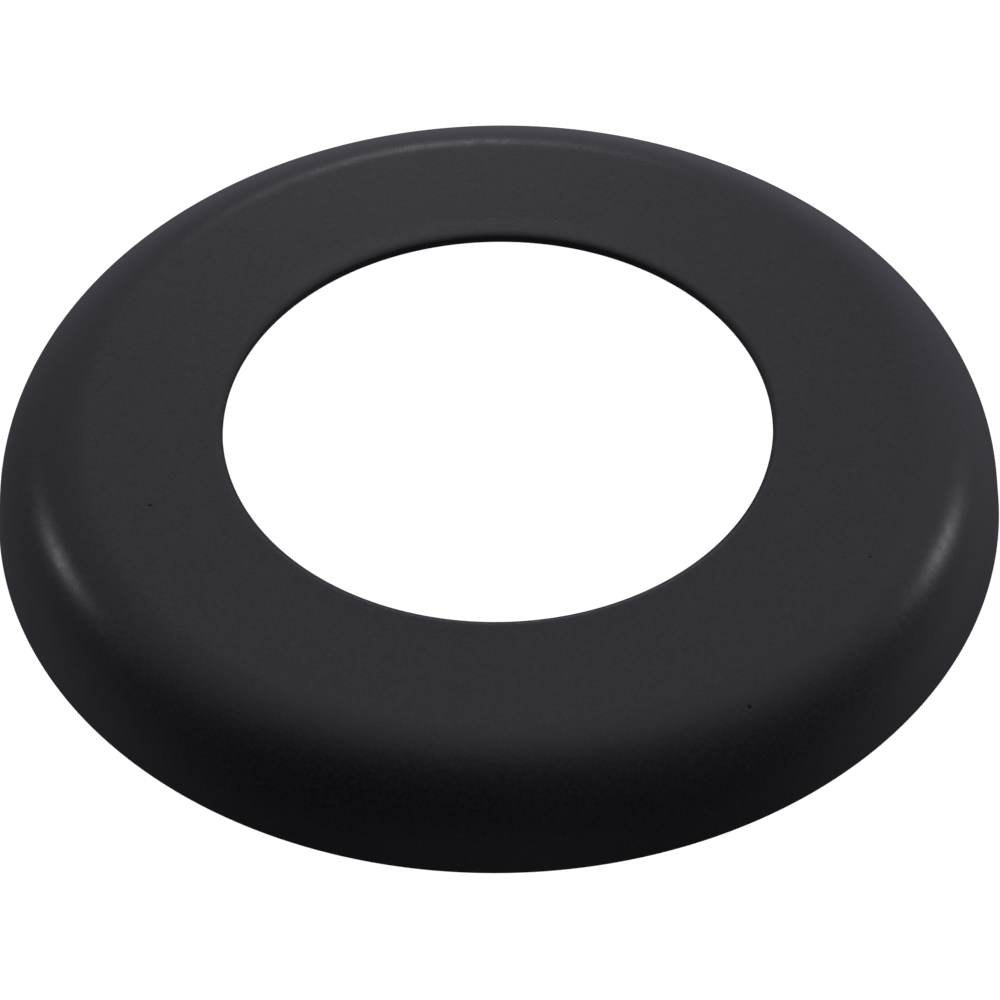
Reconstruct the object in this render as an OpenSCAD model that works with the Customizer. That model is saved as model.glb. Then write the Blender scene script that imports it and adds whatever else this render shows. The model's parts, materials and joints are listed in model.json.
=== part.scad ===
// Toilet flange: the round cover that slips down a flush tube and hides the
// joint where the tube enters the bowl. It is one shell, pressed from sheet
// metal: a flat face with a punched hole, a rolled shoulder, and a short skirt
// that leans out to its foot. Nothing is fixed to it and nothing moves.
//
// Millimetres, +Z up. The origin is the centre of the plane the foot stands on.

/* [Overall] */
// Outside diameter at the foot of the skirt
foot_d = 71.5; // [56:0.5:120]
// Height from the foot to the face
height = 7.7; // [5:0.1:20]

/* [Sheet] */
// Thickness of the sheet that the shell is pressed from
sheet_t = 0.65; // [0.4:0.05:1.5]

/* [Skirt and shoulder] */
// Lean of the skirt outwards from upright, in degrees
skirt_lean = 5.8; // [1:0.1:20]
// Outside radius of the shoulder between face and skirt
shoulder_r = 6.3; // [2:0.1:8]

/* [Tube hole] */
// Outside diameter of the flush tube that goes through
tube_d = 38.1; // [20:0.1:54]
// Gap all round between the tube and the edge of the hole
tube_gap = 0.4; // [0.1:0.05:1]
// Radius that the punch rolls on the upper edge of the hole
punch_r = 0.35; // [0.05:0.05:1]

/* [Hidden] */
$fn = 180;

// How far a cutting shape runs past what it cuts
past = 1;
// How far the shoulder's circle bites into the skirt, so that the two cross
// cleanly where they would only graze
bite = 0.0002;
// The least upright wall left below the shoulder, and below the punched round
min_skirt = 0.3;
min_wall = 0.15;

foot_r = foot_d / 2;
hole_r = tube_d / 2 + tube_gap;

// Each round is held to what its own wall has room for
shoulder = min(shoulder_r, (height - min_skirt) / (1 - sin(skirt_lean)));
punch = min(punch_r, sheet_t - min_wall);

// The shoulder's arc is tangent to the face and to the skirt's line, which
// places its centre
skirt_run = (height - shoulder * (1 - sin(skirt_lean))) * tan(skirt_lean);
shoulder_x = foot_r - skirt_run - shoulder * cos(skirt_lean);
shoulder_z = height - shoulder;

// Half the section of a solid cap that lies "inset" inside the shell's outer
// surface and whose skirt goes on down to "drop" below the foot. The polygon
// is the face and the skirt, and the half disc on it is the shoulder.
module cap_section(inset, drop) {
    arc = shoulder - inset;
    face_z = height - inset;
    foot_x = foot_r - inset / cos(skirt_lean) + drop * tan(skirt_lean);
    skirt_top = [shoulder_x + arc * cos(skirt_lean), shoulder_z + arc * sin(skirt_lean)];
    polygon([[0, -drop], [foot_x, -drop], skirt_top, [shoulder_x, face_z], [0, face_z]]);
    translate([shoulder_x + bite, shoulder_z])
        intersection() {
            circle(arc);
            translate([-arc, 0]) square([2 * arc, arc + past]);
        }
}

// What the punch takes off the upper edge of the hole: a square corner less
// the round that is left standing
module punched_corner() {
    translate([hole_r + punch, height - punch])
        difference() {
            translate([-punch - past, 0]) square(punch + past);
            circle(punch);
        }
}

// Half the section of the shell
module shell_section() {
    difference() {
        cap_section(0, 0);
        cap_section(sheet_t, past);
        translate([0, -past]) square([hole_r, height + 2 * past]);
        punched_corner();
    }
}

module flange_shell() {
    color("#2c2c2f") rotate_extrude() shell_section();
}

flange_shell();
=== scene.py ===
"""Looks of a toilet flange: one shell pressed from sheet and powder coated satin black.

The shell is drawn as a sharp half section, its corners are rounded one by one, and it is spun
once round the tube's axis. Everything is in metres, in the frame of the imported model.
"""

import json
import math

import bmesh
import bpy
from bpy.props import FloatProperty, FloatVectorProperty, IntProperty, PointerProperty
from bpy.types import Operator, Panel, PropertyGroup, Scene
from mathutils import Matrix, Vector


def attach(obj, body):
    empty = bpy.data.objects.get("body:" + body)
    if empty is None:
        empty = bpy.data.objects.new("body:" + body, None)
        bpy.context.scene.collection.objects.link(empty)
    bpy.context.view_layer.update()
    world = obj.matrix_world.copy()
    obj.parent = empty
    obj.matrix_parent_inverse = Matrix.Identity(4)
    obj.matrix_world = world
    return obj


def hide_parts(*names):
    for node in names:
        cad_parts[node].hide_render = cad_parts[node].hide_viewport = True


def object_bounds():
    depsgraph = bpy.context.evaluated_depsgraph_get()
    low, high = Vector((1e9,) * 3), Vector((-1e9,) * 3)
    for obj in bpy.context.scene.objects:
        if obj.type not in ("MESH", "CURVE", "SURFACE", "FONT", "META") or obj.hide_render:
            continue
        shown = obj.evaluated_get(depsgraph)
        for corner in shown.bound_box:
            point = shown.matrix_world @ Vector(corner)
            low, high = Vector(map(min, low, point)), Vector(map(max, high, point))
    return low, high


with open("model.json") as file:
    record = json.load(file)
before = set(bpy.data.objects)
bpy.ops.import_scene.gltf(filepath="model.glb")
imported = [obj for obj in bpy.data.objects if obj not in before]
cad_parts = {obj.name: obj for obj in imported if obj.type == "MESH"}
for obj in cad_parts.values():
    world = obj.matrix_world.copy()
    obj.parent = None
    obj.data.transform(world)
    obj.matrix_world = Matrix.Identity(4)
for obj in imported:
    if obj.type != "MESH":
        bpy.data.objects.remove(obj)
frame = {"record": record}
CAD_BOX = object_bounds()

bl_info = {
    "name": "Toilet flange",
    "version": (1, 0, 0),
    "blender": (4, 5, 0),
    "location": "3D View > Sidebar > Flange",
    "description": "Makes a pressed and powder-coated toilet flange, and a pale studio to show it in",
    "category": "Add Mesh",
}

MM = 0.001
BODY = "root"
SHELL_NODE = "flange_shell"
# Vertex attribute: 0 on the shell's outer side, 1 on its inner side
INNER_SIDE = "inner_side"

# The surround's soft glows: where each one's middle is (turn and height, degrees) and its strength
GLOWS = {
    "behind": (90.0, 5.0, 0.35),
    "behind_right": (40.0, 5.0, 0.15),
    "low_right": (58.0, 26.0, 0.15),
    "low_left": (126.0, 24.0, 0.12),
    "high_right": (40.0, 57.0, 0.61),
    "high_left": (140.0, 57.0, 0.37),
    "right": (10.0, -8.0, 0.26),
    "left": (167.0, -8.0, 0.185),
    "front": (270.0, -25.0, 0.06),
    "front_high": (315.0, 45.0, 0.055),
}
# Each lamp: its turn and height (degrees), its own width and height (metres), and its power (watts)
LAMPS = {
    "back_lamp": (92.5, 30.0, 0.06, 0.06, 0.068),
    "left_lamp": (155.5, 25.0, 0.04, 0.07, 0.113),
    "right_lamp": (24.0, 22.2, 0.06, 0.1, 0.155),
}

# Verts nearer than this are one vert
SEAM_GAP = 0.0001 * MM
FLOOR_RADIUS = 4.0
FLOOR_SEGMENTS = 96
# The floor lies this far under the foot, so that the two don't flicker
FLOOR_GAP = 0.01 * MM

LOW, HIGH = CAD_BOX
MOUNTS = {mount["name"]: mount for mount in frame["record"]["mounts"]}
HOLE_RADIUS = MOUNTS["tube_hole"]["dims"]["r_mm"] * MM


# Sizes and colours ---------------------------------------------------------------------------


def length(name, description, default):
    """A length in metres, shown in the scene's unit."""
    return FloatProperty(
        name=name,
        description=description,
        default=default,
        min=0.0,
        precision=5,
        unit="LENGTH",
    )


def share(name, description, default):
    """A plain number from 0 to 1."""
    return FloatProperty(
        name=name,
        description=description,
        default=default,
        min=0.0,
        max=1.0,
        subtype="FACTOR",
    )


def amount(name, description, default):
    """A plain number with no upper limit."""
    return FloatProperty(name=name, description=description, default=default, min=0.0)


def angle(name, description, degrees):
    """An angle, given here in degrees."""
    return FloatProperty(
        name=name,
        description=description,
        default=math.radians(degrees),
        subtype="ANGLE",
        unit="ROTATION",
    )


def color(name, description, default):
    """A linear colour."""
    return FloatVectorProperty(
        name=name,
        description=description,
        default=default,
        size=3,
        min=0.0,
        max=1.0,
        subtype="COLOR",
    )


class FlangeShellSizes(PropertyGroup):
    """What the shell measures."""

    foot_diameter: length("Foot diameter", "Outside diameter of the skirt's foot", HIGH.x - LOW.x)
    height: length("Height", "From the foot to the face", HIGH.z - LOW.z)
    hole_diameter: length("Hole diameter", "Diameter of the hole's upright wall", 2 * HOLE_RADIUS)
    sheet: length("Sheet", "Thickness of the sheet with its coat", 0.65 * MM)
    skirt_lean: angle("Skirt lean", "How far the skirt leans out from upright", 5.8)
    shoulder_radius: length("Shoulder radius", "Outside radius between face and skirt", 6.3 * MM)
    roll_width: length("Roll width", "How far the hole's rolled edge runs across the face", 0.5 * MM)
    roll_depth: length("Roll depth", "How far the hole's rolled edge runs down its wall", 0.25 * MM)
    crown_height: length("Crown height", "Height of the low crown round the hole", 0.02 * MM)
    crown_width: length("Crown width", "How far the crown runs out over the face", 1.7 * MM)
    edge_round: length("Edge round", "Radius on the foot's trimmed edge", 0.08 * MM)
    ring_gap: length("Ring gap", "Widest gap between rings of the mesh", 0.45 * MM)
    steps: IntProperty(
        name="Steps",
        description="Steps of the mesh once round",
        default=400,
        min=24,
    )


class FlangeCoatLook(PropertyGroup):
    """How the powder coat looks."""

    dark: color("Dark grain", "Colour of the coat's darkest grains", (0.004, 0.004, 0.004))
    light: color("Light grain", "Colour of the coat's lightest grains", (0.024, 0.024, 0.025))
    thin: color("Thin coat", "Colour of thin coat, on edges and inside", (0.035, 0.034, 0.038))
    pit: color("Pit", "Colour of a pit in the coat", (0.003, 0.003, 0.003))
    roughness: share("Roughness", "Roughness of the outer coat", 0.3)
    thin_roughness: share("Thin roughness", "Roughness of the thin coat inside", 0.5)
    grain_size: length("Grain size", "Size of the powder's grain", 0.26 * MM)
    grain_depth: length("Grain depth", "Depth of the powder's grain", 0.003 * MM)
    peel_size: length("Peel size", "Size of the coat's soft orange peel", 0.9 * MM)
    peel_depth: length("Peel depth", "Depth of the coat's soft orange peel", 0.006 * MM)
    patch_size: length("Patch size", "Size of the coat's slow light and dark patches", 9 * MM)
    scuff_size: length("Scuff size", "Size of the gaps in the thin coat", 0.6 * MM)
    line_width: length("Line width", "Width of the draw lines up the inner wall", 0.25 * MM)
    line_depth: length("Line depth", "Depth of the draw lines up the inner wall", 0.006 * MM)
    pit_size: length("Pit size", "Width of the widest pit in the coat", 0.42 * MM)
    pit_depth: length("Pit depth", "Depth of the deepest pit in the coat", 0.03 * MM)


class FlangeStudioLook(PropertyGroup):
    """Where the camera and the lamps stand, and how pale the studio is."""

    floor: color("Floor", "Colour of the floor", (1.0, 1.0, 1.0))
    surround: color("Surround", "Colour of the soft light all round", (0.87, 0.84, 1.0))
    surround_glow: amount("Surround glow", "Strength of all the soft glows together", 1.0)
    surround_rest: amount("Surround rest", "Strength of the light between the glows", 0.073)
    glow_focus: amount("Glow focus", "How narrow the soft glows are", 6.0)
    floor_glow: amount("Floor glow", "Strength of the floor's own light", 1.15)
    floor_paper: share("Floor paper", "How much of the floor is plain paper that takes a shadow", 0.1)
    lamp_distance: length("Lamp distance", "From the foot's centre to each lamp", 600.0 * MM)
    camera_target: FloatVectorProperty(
        name="Camera target",
        description="The point the camera looks at",
        default=(0.09 * MM, -0.067 * MM, -0.067 * MM),
        size=3,
        precision=5,
        subtype="TRANSLATION",
        unit="LENGTH",
    )
    camera_distance: length("Camera distance", "From its target to the camera", 429.0 * MM)
    camera_elevation: angle("Camera elevation", "Height of the camera above the horizon", 45.0)
    camera_roll: angle("Camera roll", "How far the camera is turned about its own axis", -0.77)
    lens: FloatProperty(
        name="Lens",
        description="Focal length on a 36 mm sensor",
        default=215.7,
        min=1.0,
        unit="CAMERA",
    )


# Shader trees --------------------------------------------------------------------------------


class Signal:
    """A node's output. Arithmetic on it adds Math nodes to its tree."""

    def __init__(self, tree, socket):
        self.tree = tree
        self.socket = socket

    def math(self, operation, *values):
        return self.tree.node("ShaderNodeMath", {"operation": operation}, dict(enumerate(values)))

    def at_least(self, low):
        return self.math("MAXIMUM", self, low)

    def __add__(self, other):
        return self.math("ADD", self, other)

    def __sub__(self, other):
        return self.math("SUBTRACT", self, other)

    def __rsub__(self, other):
        return self.math("SUBTRACT", other, self)

    def __mul__(self, other):
        return self.math("MULTIPLY", self, other)

    def __pow__(self, other):
        return self.math("POWER", self, other)

    __radd__ = __add__
    __rmul__ = __mul__


class Tree:
    """An emptied shader tree, and the few kinds of node group that the materials share."""

    def __init__(self, holder):
        holder.use_nodes = True
        self.nodes = holder.node_tree.nodes
        self.links = holder.node_tree.links
        self.nodes.clear()

    def node(self, kind, settings=None, inputs=None, out=0):
        """Adds a node. out names the output that is wanted, or several of them."""
        made = self.nodes.new(kind)
        for name, value in (settings or {}).items():
            setattr(made, name, value)
        for key, value in (inputs or {}).items():
            if isinstance(value, Signal):
                self.links.new(value.socket, made.inputs[key])
            else:
                made.inputs[key].default_value = value
        if isinstance(out, tuple):
            return [Signal(self, made.outputs[key]) for key in out]
        return Signal(self, made.outputs[out]) if made.outputs else made

    def rise(self, value, low, high):
        """0 up to low, 1 from high on, and smooth between them."""
        settings = {"interpolation_type": "SMOOTHSTEP"}
        inputs = {"Value": value, "From Min": low, "From Max": high}
        return self.node("ShaderNodeMapRange", settings, inputs)

    def noise(self, place, size, detail):
        """Noise from 0 to 1 whose patches are about size across."""
        inputs = {"Vector": place, "Scale": 1 / size, "Detail": detail}
        return self.node("ShaderNodeTexNoise", inputs=inputs)

    def blend(self, factor, first, second):
        """From the first colour to the second as factor goes from 0 to 1."""
        settings = {"data_type": "RGBA"}
        first_input, second_input = 6, 7
        inputs = {0: factor, first_input: first, second_input: second}
        return self.node("ShaderNodeMix", settings, inputs, out=2)

    def output(self, kind, shader):
        self.node(kind, inputs={"Surface": shader})


def opaque(rgb):
    """A colour property with the alpha that a socket wants."""
    return (*rgb, 1.0)


# The powder coat -----------------------------------------------------------------------------


def shoulder_place(sizes, turn, tilt):
    """The point on the outer shoulder at this turn about the axis, where the surface has tilted
    this far from level."""
    lean = sizes.skirt_lean
    radius = sizes.shoulder_radius
    run = (sizes.height - radius * (1 - math.sin(lean))) * math.tan(lean)
    middle = sizes.foot_diameter / 2 - run - radius * math.cos(lean)
    out = middle + radius * math.sin(tilt)
    up = sizes.height - radius * (1 - math.cos(tilt))
    return Vector((out * math.cos(turn), out * math.sin(turn), up))


def face_place(sizes, turn, out):
    """The point on the face at this turn about the axis and this far out."""
    return Vector((out * math.cos(turn), out * math.sin(turn), sizes.height))


def pit_places(sizes):
    """The coat's pits, two on the face and two on the shoulder: the place of each, and its width and
    darkness as shares of the widest and the darkest."""
    return (
        (face_place(sizes, math.radians(198.0), 25.6 * MM), 1.0, 1.0),
        (face_place(sizes, math.radians(331.5), 29.1 * MM), 0.9, 0.75),
        (shoulder_place(sizes, math.radians(301.5), math.radians(26.0)), 1.05, 1.0),
        (shoulder_place(sizes, math.radians(315.0), math.radians(53.0)), 0.85, 0.9),
    )


def pit_mask(tree, place, look, sizes):
    """1 in the middle of a pit and 0 off it."""
    settings = {"operation": "DISTANCE"}
    flat_share = 0.2
    edge_share = 0.55
    mask = 0.0
    for pit, width, darkness in pit_places(sizes):
        away = tree.node("ShaderNodeVectorMath", settings, {0: place, 1: pit}, out="Value")
        pit_size = look.pit_size * width
        wall = tree.rise(away, pit_size * flat_share, pit_size * edge_share)
        mask = mask + (1 - wall) * darkness
    return mask


def hole_edge_mask(tree, out, inner, sizes):
    """1 on the rolled edge of the hole and 0 on the face."""
    fade = 0.5 * MM
    roll_end = sizes.hole_diameter / 2 + sizes.roll_width
    return (1 - tree.rise(out, roll_end - fade, roll_end)) * (1 - inner)


def foot_edge_mask(tree, z):
    """1 on the foot's trimmed edge and 0 from a little way up the skirt."""
    fade_start = 0.05 * MM
    fade_end = 0.35 * MM
    return 1 - tree.rise(z, fade_start, fade_end)


def draw_lines(tree, turn, z, out, look):
    """Noise drawn out into lines up the inside of the skirt: full size round the wall, and
    stretched up it."""
    wall_radius = 35 * MM
    squeeze_up = 0.04
    squeeze_out = 0.02
    inputs = {0: turn * wall_radius, 1: z * squeeze_up, 2: out * squeeze_out}
    along_wall = tree.node("ShaderNodeCombineXYZ", inputs=inputs)
    return tree.noise(along_wall, look.line_width, detail=3.0)


def thin_coat_mask(tree, place, hole_edge, foot_edge, inner, look):
    """How far the coat has thinned: some on the edges, most inside, and less between scuffs."""
    on_hole_edge = 0.12
    on_foot_edge = 0.5
    inside = 0.6
    thinning = hole_edge * on_hole_edge + foot_edge * on_foot_edge + inner * inside
    scuff_start = 0.45
    scuff_end = 0.7
    between_scuffs = 0.5
    scuffs = tree.rise(tree.noise(place, look.scuff_size, detail=4.0), scuff_start, scuff_end)
    return thinning * (between_scuffs + scuffs * (1 - between_scuffs))


def coat_material(look, sizes):
    """Satin black powder coat: a fine grain on a soft peel, thinner on edges and inside."""
    material = bpy.data.materials.new("black_powder_coat")
    tree = Tree(material)
    place = tree.node("ShaderNodeTexCoord", out="Object")
    x, y, z = tree.node("ShaderNodeSeparateXYZ", inputs={0: place}, out=(0, 1, 2))
    out = (x * x + y * y) ** 0.5
    turn = tree.node("ShaderNodeMath", {"operation": "ARCTAN2"}, {0: y, 1: x})
    inner = tree.node("ShaderNodeAttribute", {"attribute_name": INNER_SIDE}, out="Fac")

    grain = tree.noise(place, look.grain_size, detail=1.0)
    peel = tree.noise(place, look.peel_size, detail=1.0)
    patches = tree.noise(place, look.patch_size, detail=2.0)
    hole_edge = hole_edge_mask(tree, out, inner, sizes)
    thinned = thin_coat_mask(tree, place, hole_edge, foot_edge_mask(tree, z), inner, look)
    pitted = pit_mask(tree, place, look, sizes)

    # Noise gathers round its middle, so the grain is spread wider before it picks the colour
    grain_spread = 1.6
    patch_share = 0.25
    shade = grain * grain_spread + (1 - grain_spread) / 2 + (patches - 0.5) * patch_share
    tone = tree.blend(shade, opaque(look.dark), opaque(look.light))
    tone = tree.blend(thinned, tone, opaque(look.thin))
    tone = tree.blend(pitted, tone, opaque(look.pit))

    # Each weight is how far a noise or mask moves the roughness from one end to the other
    roughness = look.roughness
    for noise, weight in ((grain, 0.1), (peel, 0.1), (patches, 0.03)):
        roughness = roughness + (noise - 0.5) * weight
    inner_weight = look.thin_roughness - look.roughness
    for mask, weight in ((inner, inner_weight), (hole_edge, 0.22), (pitted, 0.5)):
        roughness = roughness + mask * weight

    depth = grain * look.grain_depth + peel * look.peel_depth
    depth = depth + draw_lines(tree, turn, z, out, look) * inner * look.line_depth
    depth = depth - pitted * look.pit_depth
    normal = tree.node("ShaderNodeBump", inputs={"Height": depth, "Distance": 1.0, "Strength": 1.0})

    surface = tree.node(
        "ShaderNodeBsdfPrincipled",
        inputs={"Base Color": tone, "Roughness": roughness, "Normal": normal},
    )
    tree.output("ShaderNodeOutputMaterial", surface)
    return material


# The shell -----------------------------------------------------------------------------------


def add_piece(name, mesh_source, material):
    """An object at the origin that holds this mesh and material."""
    mesh = bpy.data.meshes.new(name)
    mesh_source.to_mesh(mesh)
    mesh_source.free()
    piece = bpy.data.objects.new(name, mesh)
    piece.data.materials.append(material)
    bpy.context.scene.collection.objects.link(piece)
    return piece


def inner_skirt(sizes, height):
    """How far out the skirt's inner wall stands at this height."""
    foot = sizes.foot_diameter / 2 - sizes.sheet / math.cos(sizes.skirt_lean)
    return foot - height * math.tan(sizes.skirt_lean)


def sharp_corners(sizes):
    """The half section's corners by name, from the hole outwards and back inside: each one's place
    (x, z), how far its round is set back along both edges, and the round's segments."""
    spread = math.tan(sizes.skirt_lean)
    foot = sizes.foot_diameter / 2
    hole = sizes.hole_diameter / 2
    under = sizes.height - sizes.sheet
    set_back = math.tan((math.pi / 2 - sizes.skirt_lean) / 2)
    shoulder = sizes.shoulder_radius * set_back
    inner_shoulder = (sizes.shoulder_radius - sizes.sheet) * set_back
    small_round = sizes.edge_round / 2
    return {
        "hole_edge": ((hole, sizes.height), sizes.roll_depth, 12),
        "shoulder": ((foot - sizes.height * spread, sizes.height), shoulder, 36),
        "foot": ((foot, 0.0), sizes.edge_round, 4),
        "inner_foot": ((inner_skirt(sizes, 0.0), 0.0), small_round, 3),
        "inner_shoulder": ((inner_skirt(sizes, under), under), inner_shoulder, 28),
        "inner_hole_edge": ((hole, under), small_round, 3),
    }


def rounded_section(bm, sizes):
    """Draws the half section as one face, rounds its corners and divides its long edges."""
    corners = sharp_corners(sizes)
    marks = {name: bm.verts.new((x, 0.0, z)) for name, ((x, z), _, _) in corners.items()}
    bm.faces.new(list(marks.values()))
    rounds = {}
    for name, (_, set_back, segments) in corners.items():
        made = bmesh.ops.bevel(
            bm,
            geom=[marks[name]],
            offset=set_back,
            offset_type="OFFSET",
            segments=segments,
            profile=0.5,
            affect="VERTICES",
            material=-1,
        )
        rounds[name] = made["verts"]
    # The hole's round becomes a roll, wider across the face than it is deep
    bmesh.ops.scale(
        bm,
        vec=(sizes.roll_width / sizes.roll_depth, 1.0, 1.0),
        space=Matrix.Translation((-sizes.hole_diameter / 2, 0.0, 0.0)),
        verts=rounds["hole_edge"],
    )
    for edge in list(bm.edges):
        cuts = math.ceil(edge.calc_length() / sizes.ring_gap) - 1
        if cuts > 0:
            bmesh.ops.subdivide_edges(bm, edges=[edge], cuts=cuts)
    bmesh.ops.delete(bm, geom=list(bm.faces), context="FACES_ONLY")


def mark_inner_side(bm):
    """Writes on each vert which side of the sheet it is on: only the inner side faces down."""
    side = bm.verts.layers.float.new(INNER_SIDE)
    plainly_down = -0.05
    for vert in bm.verts:
        vert[side] = 1.0 if vert.normal.z < plainly_down else 0.0


def crown_face(bm, sizes):
    """Lifts the face round the hole to a low crown, as the punch leaves it."""
    start = sizes.hole_diameter / 2 + sizes.roll_width
    for vert in bm.verts:
        if vert.co.z > sizes.height - sizes.roll_depth:
            way_out = min(max((vert.co.x - start) / sizes.crown_width, 0.0), 1.0)
            vert.co.z += sizes.crown_height * (0.5 + 0.5 * math.cos(math.pi * way_out))


class FLANGE_OT_shell(Operator):
    """Presses the shell: face, shoulder, skirt and rolled hole edge in one piece of sheet"""

    bl_idname = "flange.shell"
    bl_label = "Shell"

    def execute(self, context):
        sizes = context.scene.flange_shell
        bm = bmesh.new()
        rounded_section(bm, sizes)
        crown_face(bm, sizes)
        bmesh.ops.spin(
            bm,
            geom=[*bm.verts, *bm.edges],
            cent=(0.0, 0.0, 0.0),
            axis=(0.0, 0.0, 1.0),
            angle=math.tau,
            steps=sizes.steps,
            use_merge=True,
        )
        bmesh.ops.remove_doubles(bm, verts=bm.verts, dist=SEAM_GAP)
        bmesh.ops.recalc_face_normals(bm, faces=bm.faces)
        bm.normal_update()
        mark_inner_side(bm)
        for face in bm.faces:
            face.smooth = True
        if any(not edge.is_manifold for edge in bm.edges):
            raise RuntimeError("the shell isn't closed")
        coat = coat_material(context.scene.flange_coat, sizes)
        shell = add_piece("pressed_shell", bm, coat)
        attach(shell, BODY)
        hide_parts(SHELL_NODE)
        return {"FINISHED"}


# The studio ----------------------------------------------------------------------------------


def from_middle(distance, turn, elevation):
    """A place this far from the origin. Both angles are in radians, and turn is counted from +X
    towards +Y."""
    flat = distance * math.cos(elevation)
    return Vector((flat * math.cos(turn), flat * math.sin(turn), distance * math.sin(elevation)))


def aim(thing, target, roll=0.0):
    """Turns a camera or lamp so that it looks at the target."""
    towards = (target - thing.location).to_track_quat("-Z", "Y")
    thing.rotation_euler = (towards.to_matrix() @ Matrix.Rotation(roll, 3, "Z")).to_euler()


def add_lamp(name, look, turn, elevation, width, height, power):
    """A soft rectangular lamp, its turn and elevation in degrees, that looks at the origin."""
    data = bpy.data.lights.new(name, "AREA")
    data.shape = "RECTANGLE"
    data.size = width
    data.size_y = height
    data.energy = power
    lamp = bpy.data.objects.new(name, data)
    lamp.location = from_middle(look.lamp_distance, math.radians(turn), math.radians(elevation))
    lamp.visible_camera = False
    aim(lamp, Vector((0.0, 0.0, 0.0)))
    bpy.context.scene.collection.objects.link(lamp)


def floor_material(look):
    """Bright paper that takes only a faint shadow."""
    material = bpy.data.materials.new("pale_floor")
    tree = Tree(material)
    paper = tree.node("ShaderNodeBsdfDiffuse", inputs={"Color": opaque(look.floor)})
    glow_inputs = {"Color": opaque(look.floor), "Strength": look.floor_glow}
    glow = tree.node("ShaderNodeEmission", inputs=glow_inputs)
    lit = tree.node("ShaderNodeMixShader", inputs={0: look.floor_paper, 1: glow, 2: paper})
    tree.output("ShaderNodeOutputMaterial", lit)
    return material


def surround_world(look):
    """Soft light in wide glows, most of them behind the object. The camera itself sees plain paper
    past the floor."""
    world = bpy.data.worlds.new("studio_surround")
    tree = Tree(world)
    towards = tree.node("ShaderNodeTexCoord", out="Generated")
    dot_product = {"operation": "DOT_PRODUCT"}
    brightness = look.surround_rest
    for turn, elevation, glow in GLOWS.values():
        middle = from_middle(1.0, math.radians(turn), math.radians(elevation))
        facing = tree.node("ShaderNodeVectorMath", dot_product, {0: towards, 1: middle}, out="Value")
        falloff = facing.at_least(0.0) ** look.glow_focus
        brightness = brightness + falloff * (glow * look.surround_glow)
    light_inputs = {"Color": opaque(look.surround), "Strength": brightness}
    light = tree.node("ShaderNodeBackground", inputs=light_inputs)
    paper = tree.node("ShaderNodeBackground", inputs={"Color": opaque(look.floor), "Strength": 1.0})
    seen = tree.node("ShaderNodeLightPath", out="Is Camera Ray")
    both = tree.node("ShaderNodeMixShader", inputs={0: seen, 1: light, 2: paper})
    tree.output("ShaderNodeOutputWorld", both)
    return world


def add_floor(look):
    """A wide round floor under the foot."""
    bm = bmesh.new()
    bmesh.ops.create_circle(bm, cap_ends=True, segments=FLOOR_SEGMENTS, radius=FLOOR_RADIUS)
    bmesh.ops.translate(bm, vec=(0.0, 0.0, LOW.z - FLOOR_GAP), verts=bm.verts)
    floor = add_piece("floor", bm, floor_material(look))
    floor.visible_glossy = False
    floor.visible_diffuse = False


def add_camera(look):
    """A camera with a long lens, in front of the object and above it."""
    data = bpy.data.cameras.new("camera")
    data.lens = look.lens
    camera = bpy.data.objects.new("camera", data)
    target = Vector(look.camera_target)
    in_front = -math.pi / 2
    camera.location = target + from_middle(look.camera_distance, in_front, look.camera_elevation)
    aim(camera, target, look.camera_roll)
    bpy.context.scene.collection.objects.link(camera)
    bpy.context.scene.camera = camera


class FLANGE_OT_studio(Operator):
    """Sets up the pale floor, the soft light and the camera"""

    bl_idname = "flange.studio"
    bl_label = "Studio"

    def execute(self, context):
        look = context.scene.flange_studio
        add_camera(look)
        add_floor(look)
        context.scene.world = surround_world(look)
        context.scene.view_settings.view_transform = "Standard"
        for name, (turn, elevation, width, height, power) in LAMPS.items():
            add_lamp(name, look, turn, elevation, width, height, power)
        return {"FINISHED"}


# The sidebar panel ---------------------------------------------------------------------------


class FLANGE_PT_sidebar(Panel):
    """Lists the sizes, looks and buttons"""

    bl_label = "Toilet flange"
    bl_idname = "FLANGE_PT_sidebar"
    bl_space_type = "VIEW_3D"
    bl_region_type = "UI"
    bl_category = "Flange"

    def draw(self, context):
        groups = (
            (context.scene.flange_shell, FLANGE_OT_shell),
            (context.scene.flange_coat, None),
            (context.scene.flange_studio, FLANGE_OT_studio),
        )
        for group, operator in groups:
            box = self.layout.box()
            for name in group.__annotations__:
                box.prop(group, name)
            if operator:
                box.operator(operator.bl_idname)


GROUPS = {
    "flange_shell": FlangeShellSizes,
    "flange_coat": FlangeCoatLook,
    "flange_studio": FlangeStudioLook,
}
CLASSES = (*GROUPS.values(), FLANGE_OT_shell, FLANGE_OT_studio, FLANGE_PT_sidebar)


def register():
    for cls in CLASSES:
        bpy.utils.register_class(cls)
    for name, group in GROUPS.items():
        setattr(Scene, name, PointerProperty(type=group))


def unregister():
    for name in GROUPS:
        delattr(Scene, name)
    for cls in reversed(CLASSES):
        bpy.utils.unregister_class(cls)


def main():
    register()
    bpy.ops.flange.studio()
    bpy.ops.flange.shell()


if __name__ == "__main__":
    main()
